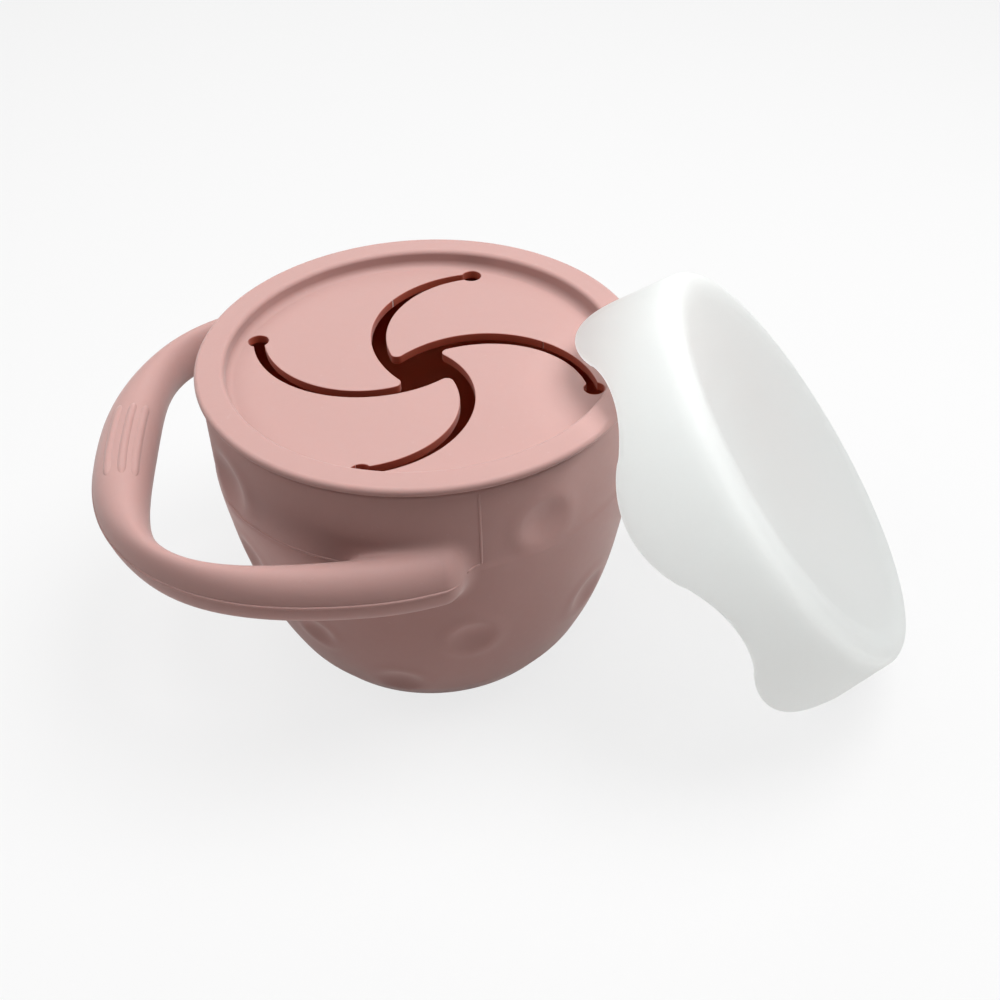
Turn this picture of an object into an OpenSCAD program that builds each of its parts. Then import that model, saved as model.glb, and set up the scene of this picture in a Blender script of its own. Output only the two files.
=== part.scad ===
// Toddler snack container: a soft moulded cup with a loop handle, a push-in lid
// whose disc is slit into four swirling petals, and a loose scalloped dust cover.
// Millimetres. Z is the cup's axis and z = 0 the surface it stands on.
// The handle points along -X and the cover leans on the rim on the +X side.

/* [Cup] */
// Radius of the cup's upright upper wall, outside
cup_r = 47; // [44:0.5:52]
// Height of the cup from the base to its rim
cup_h = 73.3; // [66:0.1:84]
// Wall thickness of the cup
wall_t = 2.2; // [1.6:0.1:3]
// Thickness of the cup's floor
floor_t = 2.4; // [1.6:0.1:4]
// Height at which the rounded side turns upright
belly_z = 58; // [50:0.5:62]
// Radius of the rounded side, seen from the side
belly_r = 118; // [100:1:150]
// Rounding where the side meets the base
base_round = 3; // [1:0.25:5]
// Rounding inside, where the side meets the floor
inner_round = 7; // [4:0.5:9]

/* [Dimples] */
// Radius of a dimple of scale 1 at the cup's surface
dimple_r = 6; // [4:0.25:7.5]
// Depth of a dimple of scale 1
dimple_depth = 1.1; // [0.6:0.05:1.3]

/* [Handle] */
// Height of the handle's middle above the base
handle_z = 53; // [46:0.5:56]
// Where the arms start to bend round, along X
bend_x = -14; // [-18:0.5:-10]
// How far the grip's outer face reaches from the cup's axis
grip_reach = 73; // [69:0.5:80]
// Thickness of the grip at its middle, seen from above
grip_t = 13.2; // [11:0.1:15]
// Height of the section at the grip
grip_h = 11.4; // [10:0.1:14]
// Thickness of the arms, seen from above
arm_t = 9.5; // [8:0.1:10.5]
// Height of the section at the arms
arm_h = 13; // [11.5:0.1:14.5]
// How far the arms' inner side lies inside the cup's upper wall
arm_bite = 2.1; // [1.6:0.05:2.6]
// How much further the arms' ends lean into the wall
root_bow = 2; // [1.5:0.1:2.6]
// Length of the arms past the bend, before their round ends
arm_l = 15; // [12:0.5:18]
// Length of the arms' round ends
end_l = 4.5; // [3:0.25:6]
// Squareness of the outer curve, 2 being an ellipse
outer_square = 2.33; // [2.1:0.01:2.6]
// Squareness of the inner curve
inner_square = 4; // [3.2:0.05:4.6]

/* [Grip ribs] */
// Number of raised ribs along the top of the grip
rib_n = 3; // [1:1:4]
// Length of a rib
rib_l = 26; // [16:0.5:30]
// Width of a rib
rib_w = 1.6; // [1.2:0.1:2]
// Height of a rib above the grip
rib_h = 0.5; // [0.3:0.05:0.7]
// Distance from one rib's middle to the next
rib_pitch = 3; // [2.4:0.1:3.2]
// How far the ribs' middle lies inwards of the grip's middle
rib_in = 0.8; // [0:0.1:1]

/* [Lid] */
// Thickness of the lid's flange on the rim
flange_t = 2; // [1.6:0.1:3]
// How far the flange overhangs the cup's wall
flange_over = 1; // [0.5:0.1:2]
// Width of the flange's flat ring
ring_w = 6.3; // [5:0.1:7]
// Depth of the petal disc below the flange's top
disc_drop = 4.1; // [3.2:0.1:4.6]
// Thickness of the petal disc
disc_t = 2; // [1.4:0.1:2.6]
// Depth of the plug below the cup's rim
plug_depth = 7; // [5.6:0.1:10]
// Thickness of the plug's skirt
plug_t = 1.8; // [1.4:0.1:2.4]
// Radial clearance between the plug and the cup
plug_clear = 0.3; // [0.2:0.05:0.6]

/* [Petals] */
// Radius of the circle that the four slit-end holes stand on
hole_ring_r = 38.1; // [37.4:0.1:38.4]
// Radius of a slit-end hole
hole_r = 2.25; // [1.8:0.05:2.4]
// Angle of the first slit-end hole
hole_angle = -21; // [-60:0.5:60]
// Radius of a petal's round edge
petal_edge_r = 22.3; // [22:0.1:22.6]
// Distance of that edge's centre from the cup's axis
petal_edge_d = 19.2; // [18.9:0.1:19.5]
// Radius of the edge on the slit's other side
slit_edge_r = 25; // [24.7:0.1:25.3]
// Distance of that edge's centre from the cup's axis
slit_edge_d = 18.5; // [18.2:0.1:18.8]
// Angle from a hole back to both centres
swirl_lag = 30; // [29:0.25:31]
// Rounding of a petal's tip
tip_round = 1.5; // [0.8:0.1:1.8]
// Clearance round a petal's root bead
hinge_clear = 0.3; // [0.25:0.05:0.5]

/* [Cover] */
// Wall thickness of the cover
cover_t = 1.4; // [1:0.1:1.8]
// Radial clearance of the cover's scallops on the lid's flange
cover_fit = 0.1; // [0:0.05:0.6]
// Slope of the cover's skirt
cover_taper = 8.2; // [5:0.1:9]
// Depth of the skirt at its lobes
lobe_depth = 22.8; // [20:0.1:25]
// Height of the skirt's scallops
scallop_h = 7.1; // [5:0.1:9]
// Rounding between the cover's top and skirt
cover_round = 3.3; // [2:0.1:4]
// Radius of the shallow recess in the cover's top
cover_recess_r = 43.4; // [36:0.1:44]
// Depth of that recess
cover_recess = 0.6; // [0.3:0.05:0.9]
// Angle at which the leaning cover's top faces up
lean = 38.1; // [36:0.1:39]
// Direction that the leaning cover faces
cover_yaw = -9; // [-20:0.1:5]
// Turn of the scallops round the cover's axis
cover_spin = -8.9; // [-14:0.1:14]
// Clearance between the cover's scalloped edge and the flange that it leans on
cover_rest = 0.4; // [0.3:0.05:1]
// Direction in which the cover's middle lies from the cup's axis
cover_dir = -14.4; // [-25:0.1:0]
// Height of the cover's lowest lobe above the floor
cover_floor_gap = 0.25; // [0.1:0.05:1]

/* [Hidden] */
$fn = 96;
eps = 0.01;
far = 200;

silicone = [0.80, 0.62, 0.59];
clear_white = [0.93, 0.93, 0.92];

// Lid heights and radii
flange_r = cup_r + flange_over;
recess_r = flange_r - ring_w;
mouth_r = cup_r - wall_t;
plug_r = mouth_r - plug_clear;
lid_top = cup_h + flange_t;
disc_top = lid_top - disc_drop;
disc_mid = disc_top - disc_t / 2;
chord_d = hole_ring_r * cos(45);
recess_fillet = 1;

// Cover sizes: the scallops' tops clear the flange by cover_fit
scallop_n = 6;
notch_depth = lobe_depth - scallop_h;
cover_r = flange_r + cover_fit + cover_t / cos(cover_taper) - notch_depth * tan(cover_taper);
mouth_outer_r = cover_r + lobe_depth * tan(cover_taper);

// Dimples: direction round the axis, height, scale
dimples = [
    [-62.5, 60, 1.0], [-82, 31, 0.9], [-104.5, 13.5, 0.95], [-152, 60.5, 1.2],
    [-41, 27, 0.95], [-150, 40, 0.9], [-128, 27, 0.75],
    [-20, 50, 1.1], [5, 24, 0.9], [18, 62, 0.8], [38, 40, 1.1], [62, 18, 0.9],
    [58, 62, 0.9], [104, 30, 1.0], [128, 62, 0.95], [138, 38, 1.15],
    [160, 20, 0.9], [176, 62, 0.85], [186, 36, 0.9]];

// ---- shared outlines ----

// Where a fillet circle of radius f sits, tangent inside a side arc of radius r
// and on a floor at height z0
function fillet_x(r, z0, f) =
    cup_r - belly_r + sqrt(pow(r - f, 2) - pow(belly_z - z0 - f, 2));

// Outer radius of the cup at height z
function wall_r(z) = z >= belly_z ? cup_r
    : cup_r - belly_r + sqrt(pow(belly_r, 2) - pow(belly_z - z, 2));

// Half section of the cup's form, drawn inwards by inset, from z0 up to z1
module bowl_outline(inset, z0, f, z1) {
    r = belly_r - inset;
    fx = fillet_x(r, z0, f);
    fz = z0 + f;
    cx = cup_r - belly_r;
    d = [fx - cx, fz - belly_z] / norm([fx - cx, fz - belly_z]);
    difference() {
        union() {
            intersection() {
                translate([cx, belly_z]) circle(r = r, $fn = 360);
                translate([0, z0]) square([far, belly_z - z0]);
            }
            translate([0, belly_z - eps]) square([cup_r - inset, z1 - belly_z + eps]);
        }
        polygon([[fx, fz], [fx, z0 - f], [fx + 4 * f, z0 - f], [fx, fz] + 3 * f * d]);
    }
    translate([fx, fz]) circle(r = f);
}

module cup_envelope() {
    rotate_extrude($fn = 180) bowl_outline(0, 0, base_round, cup_h);
}

// ---- cup ----

module cup_body() color(silicone) difference() {
    rotate_extrude($fn = 180) difference() {
        bowl_outline(0, 0, base_round, cup_h);
        bowl_outline(wall_t, floor_t, inner_round, cup_h + 1);
    }
    for (d = dimples) dimple(d[0], d[1], d[2]);
}

// A ball pressed into the wall along its outward normal
module dimple(a, z, k) {
    ball = (pow(dimple_r * k, 2) + pow(dimple_depth * k, 2)) / (2 * dimple_depth * k);
    tilt = z >= belly_z ? 0 : asin((z - belly_z) / belly_r);
    rotate([0, 0, a]) translate([wall_r(z), 0, z]) rotate([0, -tilt, 0])
        translate([ball - dimple_depth * k, 0, 0]) sphere(r = ball, $fn = 96);
}

// ---- handle ----

arm_in_y = cup_r - arm_bite;
arm_out_y = arm_in_y + arm_t;
outer_ax = grip_reach + bend_x;
inner_ax = outer_ax - grip_t;
bend_steps = 36;
arm_steps = 4;
end_steps = 4;
section_n = 20;
rib_steps = 12;
rib_sides = 10;

// Distance of a squared oval with half axes ax and ay from its centre, at angle f
function oval_r(ax, ay, n, f) =
    pow(pow(abs(cos(f)) / ax, n) + pow(abs(sin(f)) / ay, n), -1 / n);
function oval_pt(ax, ay, n, f) =
    [bend_x, 0] + oval_r(ax, ay, n, f) * [-cos(f), sin(f)];

// Lean of an arm towards the wall, at a distance past the bend
function bow(past) = root_bow * pow(past / arm_l, 2);

// A station is the plan's inner point, its outer point, and the section's scale
function bend_station(f) =
    [oval_pt(inner_ax, arm_in_y, inner_square, f), oval_pt(outer_ax, arm_out_y, outer_square, f), 1];
function arm_station(side, past, k) =
    [[bend_x + past, side * (arm_in_y - bow(past))],
     [bend_x + past, side * (arm_out_y - bow(past))], k];
function end_stations(side) =
    [for (i = [1 : end_steps]) let (a = 90 * i / (end_steps + 0.3))
        arm_station(side, arm_l + end_l * sin(a), cos(a))];
function arm_stations(side) =
    [for (i = [1 : arm_steps]) arm_station(side, arm_l * i / arm_steps, 1)];
function backwards(list) = [for (i = [len(list) - 1 : -1 : 0]) list[i]];

stations = concat(
    backwards(end_stations(-1)), backwards(arm_stations(-1)),
    [for (i = [0 : bend_steps]) bend_station(-90 + 180 * i / bend_steps)],
    arm_stations(1), end_stations(1));

// Half height of the section, less at the grip than at the arms
function half_h(x) =
    arm_h / 2 + (grip_h - arm_h) / 2 * min(1, max(0, (bend_x - x) / outer_ax));

// Point of the oval section of a station at angle a, 0 being outside and 90 on top
function section_pt(st, a) =
    let (mid = (st[0] + st[1]) / 2, arm = (st[1] - st[0]) / 2, p = mid + st[2] * cos(a) * arm)
    [p[0], p[1], handle_z + st[2] * sin(a) * half_h(mid[0])];

// Closed skin over rings of equally many points
module skin(rings) {
    n = len(rings[0]);
    last = len(rings) - 1;
    sides = [for (j = [0 : last - 1], i = [0 : n - 1])
        let (k = (i + 1) % n) each [[j * n + i, (j + 1) * n + k, j * n + k],
                                    [j * n + i, (j + 1) * n + i, (j + 1) * n + k]]];
    caps = [[for (i = [0 : n - 1]) i], backwards([for (i = [0 : n - 1]) last * n + i])];
    polyhedron([for (ring = rings) each ring], concat(sides, caps));
}

module loop_bar() {
    skin([for (st = stations) [for (i = [0 : section_n - 1]) section_pt(st, 360 * i / section_n)]]);
}

// A round-ended rib sunk in the grip's top, its middle out from the grip's middle
module rib(out) {
    a = acos(out / (grip_t / 2));
    turn = rib_l / 2 / outer_ax * 180 / PI;
    sunk = rib_w / 2 - rib_h;
    skin([for (j = [0 : rib_steps])
        let (u = 2 * j / rib_steps - 1, k = rib_w / 2 * sqrt(1 - pow(0.97 * u, 8)),
             p = section_pt(bend_station(turn * u), a) - sunk * [-cos(a), 0, sin(a)])
        [for (i = [0 : rib_sides - 1]) let (t = 360 * i / rib_sides) p + k * [-cos(t), 0, sin(t)]]]);
}

module handle() color(silicone) {
    difference() {
        loop_bar();
        cup_envelope();
    }
    for (i = [0 : rib_n - 1]) rib((rib_n - 1) / 2 * rib_pitch - i * rib_pitch - rib_in);
}

// ---- lid ----

// Unit vectors of petal k: out across its root chord, and along the chord
function out_dir(k) = let (a = hole_angle - 45 + 90 * k) [cos(a), sin(a)];
function along_dir(k) = let (a = hole_angle + 45 + 90 * k) [cos(a), sin(a)];
// Centre of petal k's round edge, and of the slit edge that ends at the hole before it
function petal_c(k) =
    petal_edge_d * [cos(hole_angle - swirl_lag + 90 * k), sin(hole_angle - swirl_lag + 90 * k)];
function slit_c(k) =
    slit_edge_d * [cos(hole_angle - swirl_lag + 90 * (k - 1)), sin(hole_angle - swirl_lag + 90 * (k - 1))];

// Centre of the circle of radius tip_round that rounds petal k's tip
function tip_c(k) =
    let (p = petal_c(k), q = slit_c(k), rp = petal_edge_r - tip_round,
         rq = slit_edge_r + tip_round, d = norm(q - p), u = (q - p) / d,
         a = (rp * rp - rq * rq + d * d) / (2 * d), h = sqrt(rp * rp - a * a))
    p + a * u - h * [-u[1], u[0]];

// Ends of petal k's root, measured along its chord
root_hi = chord_d - hole_r;
root_lo = slit_c(0) * along_dir(0)
    + sqrt(pow(slit_edge_r, 2) - pow(chord_d - slit_c(0) * out_dir(0), 2));

// Half-plane inside petal k's chord, moved out by extra
module inside_chord(k, extra) {
    rotate(hole_angle - 45 + 90 * k)
        translate([chord_d + extra - 2 * far, -far]) square([2 * far, 2 * far]);
}

// The round hole that ends the slit at petal k's root
module end_hole(k) {
    rotate(hole_angle + 90 * k) translate([hole_ring_r, 0]) circle(r = hole_r, $fn = 48);
}

module petal_plan(k, extra) {
    p = petal_c(k);
    q = slit_c(k);
    t = tip_c(k);
    up = (t - p) / norm(t - p);
    uq = (q - t) / norm(q - t);
    difference() {
        intersection() {
            translate(p) circle(r = petal_edge_r, $fn = 180);
            inside_chord(k, extra);
        }
        translate(q) circle(r = slit_edge_r, $fn = 180);
        end_hole(k);
        polygon([t, t + (tip_round + 1) * up, t + 4 * tip_round * (up + uq),
                 t + (tip_round + 1) * uq]);
    }
    translate(t) circle(r = tip_round, $fn = 48);
}

module flap(k) color(silicone) {
    bead_r = disc_t / 2;
    intersection() {
        translate([0, 0, disc_mid - bead_r]) linear_extrude(disc_t) petal_plan(k, bead_r);
        union() {
            translate([0, 0, disc_mid - disc_t]) linear_extrude(2 * disc_t) inside_chord(k, 0);
            chord_bar(k, bead_r, root_lo, root_hi);
        }
    }
}

// Round bar of radius r along petal k's chord from s0 to s1
module chord_bar(k, r, s0, s1) {
    rotate([0, 0, hole_angle - 45 + 90 * k]) translate([chord_d, s0, disc_mid])
        rotate([-90, 0, 0]) cylinder(r = r, h = s1 - s0, $fn = 48);
}

// The opening that the petals fill, with the slits' outer ends and their holes
module petal_opening() {
    intersection_for (k = [0 : 3]) inside_chord(k, 0);
    for (k = [0 : 3]) {
        difference() {
            intersection() {
                translate(slit_c(k)) circle(r = slit_edge_r, $fn = 180);
                inside_chord(k - 1, 0);
            }
            inside_chord(k, 0);
        }
        end_hole(k);
    }
}

module lid_section() {
    rim_round = flange_t / 2;
    difference() {
        union() {
            translate([recess_r, cup_h]) square([flange_r - rim_round - recess_r, flange_t]);
            translate([flange_r - rim_round, cup_h + rim_round]) circle(r = rim_round);
            translate([recess_r - recess_fillet, disc_top - disc_t])
                square([plug_r - recess_r + recess_fillet, cup_h + eps - disc_top + disc_t]);
            translate([plug_r - plug_t, cup_h - plug_depth + plug_t / 2])
                square([plug_t, plug_depth]);
            translate([plug_r - plug_t / 2, cup_h - plug_depth + plug_t / 2])
                circle(r = plug_t / 2);
            translate([0, disc_top - disc_t]) square([recess_r, disc_t]);
        }
        // soft foot of the recess wall
        translate([recess_r - recess_fillet, disc_top + recess_fillet])
            circle(r = recess_fillet);
        translate([recess_r - 2 * recess_fillet, disc_top + recess_fillet])
            square([2 * recess_fillet, lid_top]);
        translate([recess_r - 2 * recess_fillet, disc_top])
            square([recess_fillet, lid_top]);
        // rounded inner edge of the ring
        difference() {
            translate([recess_r - eps, lid_top - recess_fillet])
                square([recess_fillet, 2 * recess_fillet]);
            translate([recess_r + recess_fillet, lid_top - recess_fillet])
                circle(r = recess_fillet);
        }
    }
}

// The channel for a petal's root bead runs on into the slit-end hole beside it
module lid_ring() color(silicone) difference() {
    rotate_extrude($fn = 180) lid_section();
    translate([0, 0, disc_mid - disc_t]) linear_extrude(2 * disc_t) petal_opening();
    for (k = [0 : 3])
        chord_bar(k, disc_t / 2 + hinge_clear, root_lo - hinge_clear, chord_d);
}

// ---- cover ----

// Half section of the cover's skin, drawn inwards by inset: top at height 0
module cover_outline(inset) {
    f = cover_round - inset;
    slope = tan(cover_taper);
    drop = lobe_depth + 1;
    top_r = cover_r - inset / cos(cover_taper) + inset * slope;
    // middle of the rounding, tangent to the top and to the sloping skirt
    c = [top_r + f * slope - f / cos(cover_taper), -inset - f];
    difference() {
        polygon([[0, -inset], [top_r, -inset], [top_r + (drop - inset) * slope, -drop], [0, -drop]]);
        difference() {
            polygon([c, [c[0], 1], [c[0] + 4 * f, 1],
                     c + 4 * f * [cos(cover_taper), sin(cover_taper)]]);
            translate(c) circle(r = f, $fn = 48);
        }
    }
}

// The scalloped edge is one wave of equal arcs: round lobes below the height
// wave_mid and round notches above it, each reaching half of wave_step to a side
wave_mid = -lobe_depth + scallop_h / 2;
wave_step = mouth_outer_r * sin(90 / scallop_n);
wave_r = (pow(wave_step, 2) + pow(scallop_h / 2, 2)) / scallop_h;

// Puts a flat shape on the skirt's outside at angle a, as a bar out through the skin
module through_skirt(a) {
    rotate([0, 0, a]) rotate([90, 0, 90])
        translate([0, 0, cover_r / 2]) linear_extrude(cover_r) children();
}

module cover_shell() difference() {
    rotate_extrude($fn = 180) difference() {
        cover_outline(0);
        cover_outline(cover_t);
        translate([0, -cover_recess]) square([cover_recess_r, cover_recess + 1]);
    }
    difference() {
        translate([0, 0, wave_mid - far]) cylinder(r = far, h = far);
        for (i = [0 : scallop_n - 1]) through_skirt(360 * i / scallop_n)
            translate([0, wave_r - lobe_depth]) circle(r = wave_r, $fn = 120);
    }
    for (i = [0 : scallop_n - 1]) through_skirt(360 * (i + 0.5) / scallop_n)
        intersection() {
            translate([0, -notch_depth - wave_r]) circle(r = wave_r, $fn = 120);
            translate([-wave_step, wave_mid - eps]) square([2 * wave_step, scallop_h]);
        }
}

// Height of the scalloped edge at angle a round the cover, on a wall of radius r
function edge_z(a, r) =
    let (lobe = 360 / scallop_n, b = a - lobe * round(a / lobe), y = r * sin(b),
         n = r * sin(lobe / 2 - abs(b)))
    abs(y) < wave_step ? wave_r - lobe_depth - sqrt(pow(wave_r, 2) - pow(y, 2))
        : sqrt(pow(wave_r, 2) - pow(n, 2)) - notch_depth - wave_r;

// The edge's points in the cover's own frame, outside and inside the wall
function skirt_r(z, in) = cover_r - in / cos(cover_taper) - z * tan(cover_taper);
edge_points = [for (a = [0 : 2 : 358], in = [0, cover_t])
    let (z = edge_z(a, skirt_r(wave_mid, in)), r = skirt_r(z, in))
    [r * cos(a), r * sin(a), z]];

// A point of the cover's own frame, leaning, turned to cover_yaw, its middle at the origin
function leaning(p) =
    let (x = p[0] * cos(cover_spin) - p[1] * sin(cover_spin),
         y = p[0] * sin(cover_spin) + p[1] * cos(cover_spin),
         fore = x * sin(lean) + p[2] * cos(lean), up = p[2] * sin(lean) - x * cos(lean))
    [fore * cos(cover_yaw) - y * sin(cover_yaw), fore * sin(cover_yaw) + y * cos(cover_yaw), up];
leaning_points = [for (p = edge_points) leaning(p)];

// The cover's middle: its lowest point just over the floor, and as far out as stand
cover_z = cover_floor_gap - min([for (p = leaning_points) p[2]]);
function cover_mid(stand) = [stand * cos(cover_dir), stand * sin(cover_dir), cover_z];

// Distance of a point from the flange's rounded edge, from its top further in, or
// from the cup's side below it
function clear_of_cup(p) =
    let (r = norm([p[0], p[1]]), e = flange_r - flange_t / 2, z = lid_top - flange_t / 2,
         flange = r < e ? p[2] - lid_top : norm([r - e, p[2] - z]) - flange_t / 2)
    p[2] > cup_h ? flange : min(flange, r - wall_r(p[2]));

// Halves the step from out to in until the edge clears lid and cup by cover_rest
function rest_stand(in, out, n) =
    let (s = (in + out) / 2, m = cover_mid(s),
         gap = min([for (p = leaning_points) clear_of_cup(p + m)]))
    n == 0 ? out : gap < cover_rest ? rest_stand(s, out, n - 1) : rest_stand(in, s, n - 1);
cover_stand = rest_stand(flange_r, 2.5 * flange_r, 16);

module dust_cover() color(clear_white)
    translate(cover_mid(cover_stand))
        rotate([0, 90 - lean, cover_yaw]) rotate([0, 0, cover_spin]) cover_shell();

cup_body();
handle();
lid_ring();
flap(0);  // lid_flap_1
flap(1);  // lid_flap_2
flap(2);  // lid_flap_3
flap(3);  // lid_flap_4
dust_cover();
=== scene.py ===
import math
import bpy
import numpy as np
from mathutils import Matrix, Vector
from mathutils.geometry import delaunay_2d_cdt


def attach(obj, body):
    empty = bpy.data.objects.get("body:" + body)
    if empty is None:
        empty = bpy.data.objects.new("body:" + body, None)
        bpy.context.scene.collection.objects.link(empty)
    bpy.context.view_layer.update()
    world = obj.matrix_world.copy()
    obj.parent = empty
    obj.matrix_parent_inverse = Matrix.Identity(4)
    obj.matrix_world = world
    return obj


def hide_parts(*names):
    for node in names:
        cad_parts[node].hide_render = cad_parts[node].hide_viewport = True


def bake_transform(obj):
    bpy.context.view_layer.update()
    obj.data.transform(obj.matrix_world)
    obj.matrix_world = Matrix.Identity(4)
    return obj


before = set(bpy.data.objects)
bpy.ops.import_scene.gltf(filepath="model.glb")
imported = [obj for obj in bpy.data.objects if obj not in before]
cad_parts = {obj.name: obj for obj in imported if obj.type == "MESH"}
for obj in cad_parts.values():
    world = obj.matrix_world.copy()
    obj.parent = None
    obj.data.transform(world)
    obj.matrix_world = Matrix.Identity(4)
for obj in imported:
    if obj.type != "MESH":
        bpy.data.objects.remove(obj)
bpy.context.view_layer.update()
scene = bpy.context.scene
mm = 0.001
print("frame loaded")

# Shapes are in millimetres and degrees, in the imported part's frame


def makeObject(name, verts, faces, smooth=True, normals=None):
    mesh = bpy.data.meshes.new(name)
    mesh.from_pydata([tuple(v) for v in np.asarray(verts) * mm], [], [tuple(f) for f in faces])
    mesh.validate(clean_customdata=False)
    if smooth:
        mesh.shade_smooth()
    if normals is not None:
        mesh.normals_split_custom_set_from_vertices([tuple(n) for n in normals])
    obj = bpy.data.objects.new(name, mesh)
    scene.collection.objects.link(obj)
    return obj


def polar(r, degrees):
    return np.array([r * math.cos(math.radians(degrees)), r * math.sin(math.radians(degrees))])


# The cup and its handle: one moulding, drawn as a distance field

cupForm = {
    "radius": 47, "height": 73.3, "wall": 2.2, "floor": 2.4,
    "bellyZ": 58, "bellyR": 118, "baseRound": 3, "innerRound": 7, "rimRound": 0.8,
    # the painted shade inside fades out between these two heights towards the rim, and reaches this share
    # at most
    "voxel": 0.92, "paintedShadeFade": (60, 72), "paintedShadeShare": 0.9,
}

# angle round the axis in degrees, height, radius, depth, height of the ring round it
dimpleForm = [
    (-62.5, 60, 6.0, 1.0, 0.22), (-82, 31, 5.3, 0.9, 0.25), (-104.5, 13.5, 5.6, 0.9, 0.2),
    (-152, 60.5, 7.2, 1.4, 0.3), (-41, 27, 5.7, 0.95, 0.25), (-150, 40, 5.4, 0.9, 0.2),
    (-128, 27, 4.5, 0.75, 0.2), (-20, 50, 6.6, 1.1, 0.2), (5, 24, 5.4, 0.9, 0.2),
    (18, 62, 4.8, 0.8, 0.2), (38, 40, 6.6, 1.1, 0.2), (62, 18, 5.4, 0.9, 0.2),
    (58, 62, 5.4, 0.9, 0.2), (104, 30, 6.0, 1.0, 0.2), (128, 62, 5.7, 0.95, 0.2),
    (138, 38, 6.9, 1.15, 0.2), (160, 20, 5.4, 0.9, 0.2), (176, 62, 5.1, 0.85, 0.2),
    (186, 36, 5.4, 0.9, 0.2),
]

# slight swellings round the cup: heights where each starts, is full, fades and ends, and its rise
swellForm = [(2, 9, 14, 40, 0.9), (40, 52, 52.6, 54, 0.22)]

handleForm = {
    "z": 53, "bendX": -14, "reach": 73, "gripT": 13.2, "gripH": 11.4, "armT": 9.5, "armH": 13,
    "bite": 2.1, "bow": 2, "armL": 15, "endL": 4.5, "outerSquare": 2.33, "innerSquare": 4,
    "fillet": 3.0,
}


def roundedMax(a, b, r):
    u = np.maximum(a + r, 0)
    v = np.maximum(b + r, 0)
    return np.minimum(np.maximum(a, b), -r) + np.hypot(u, v)


def bowlField(p, inset, floorZ, fillet, c):
    r = np.hypot(p[:, 0], p[:, 1])
    z = p[:, 2]
    cx = c["radius"] - c["bellyR"]
    upright = r - (c["radius"] - inset)
    belly = np.hypot(r - cx, z - c["bellyZ"]) - (c["bellyR"] - inset)
    side = np.where(z >= c["bellyZ"], upright, belly)
    return roundedMax(side, floorZ - z, fillet)


def wallR(z, c):
    cx = c["radius"] - c["bellyR"]
    return c["radius"] if z >= c["bellyZ"] else cx + math.sqrt(c["bellyR"] ** 2 - (c["bellyZ"] - z) ** 2)


def dimpleField(p, c):
    sunk = np.zeros(len(p))
    for angle, z, radius, depth, ring in dimpleForm:
        middle = np.array([*polar(wallR(z, c), angle), z])
        s = np.linalg.norm(p - middle, axis=1) / radius
        bowl = depth * np.clip(1 - s ** 2, 0, None) ** 1.8
        sunk += bowl - ring * np.exp(-((s - 1.15) / 0.32) ** 2)
    return sunk


def smoothStep(x, low, high):
    t = np.clip((x - low) / (high - low), 0, 1)
    return t * t * (3 - 2 * t)


def swellField(p):
    z = p[:, 2]
    rise = np.zeros(len(p))
    for low, full, fade, gone, height in swellForm:
        rise += height * smoothStep(z, low, full) * (1 - smoothStep(z, fade, gone))
    return rise


def ovalR(ax, ay, n, f):
    return (np.abs(np.cos(f) / ax) ** n + np.abs(np.sin(f) / ay) ** n) ** (-1 / n)


def handleField(p, c, h):
    inY = c["radius"] - h["bite"]
    outY = inY + h["armT"]
    outAx = h["reach"] + h["bendX"]
    inAx = outAx - h["gripT"]
    x, y, z = p[:, 0], p[:, 1], p[:, 2]
    dx = h["bendX"] - x
    bent = dx > 0
    f = np.arctan2(y, np.maximum(dx, 1e-9))
    r = np.hypot(dx, y)
    ri, ro = ovalR(inAx, inY, h["innerSquare"], f), ovalR(outAx, outY, h["outerSquare"], f)
    midX = h["bendX"] - (ri + ro) / 2 * np.cos(f)
    past = np.maximum(-dx, 0)
    lean = h["bow"] * (past / h["armL"]) ** 2
    u = np.where(bent, r - (ri + ro) / 2, np.abs(y) - (inY + outY) / 2 + lean)
    a = np.where(bent, (ro - ri) / 2, h["armT"] / 2)
    share = np.clip((h["bendX"] - midX) / outAx, 0, 1) * bent
    b = h["armH"] / 2 + (h["gripH"] - h["armH"]) / 2 * share
    w = z - h["z"]
    e = np.maximum(past - h["armL"], 0)
    q = np.sqrt((u / a) ** 2 + (w / b) ** 2 + (e / h["endL"]) ** 2) + 1e-9
    slope = np.sqrt((u / a ** 2) ** 2 + (w / b ** 2) ** 2 + (e / h["endL"] ** 2) ** 2) / q + 1e-9
    return (q - 1) / slope


def softMin(a, b, k):
    t = np.clip(0.5 + 0.5 * (b - a) / k, 0, 1)
    return b * (1 - t) + a * t - k * t * (1 - t)


def mouldingField(p):
    c, h = cupForm, handleForm
    outside = bowlField(p, 0, 0, c["baseRound"], c) + dimpleField(p, c) - swellField(p)
    joined = softMin(outside, handleField(p, c, h), h["fillet"])
    inside = bowlField(p, c["wall"], c["floor"], c["innerRound"], c)
    shell = np.maximum(joined, -inside)
    return roundedMax(shell, p[:, 2] - c["height"], c["rimRound"])


def fieldSlope(field, p, step=0.02):
    g = np.empty_like(p)
    for axis in range(3):
        d = np.zeros(3)
        d[axis] = step
        g[:, axis] = (field(p + d) - field(p - d)) / (2 * step)
    return g


def settle(field, p, rounds, reach=0.5):
    # moves points onto the surface where the field is zero
    for _ in range(rounds):
        g = fieldSlope(field, p)
        size = np.maximum((g ** 2).sum(1), 0.05)
        move = -(field(p) / size)[:, None] * g
        length = np.linalg.norm(move, axis=1)
        p = p + move * np.minimum(1, reach / np.maximum(length, 1e-9))[:, None]
    return p


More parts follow.
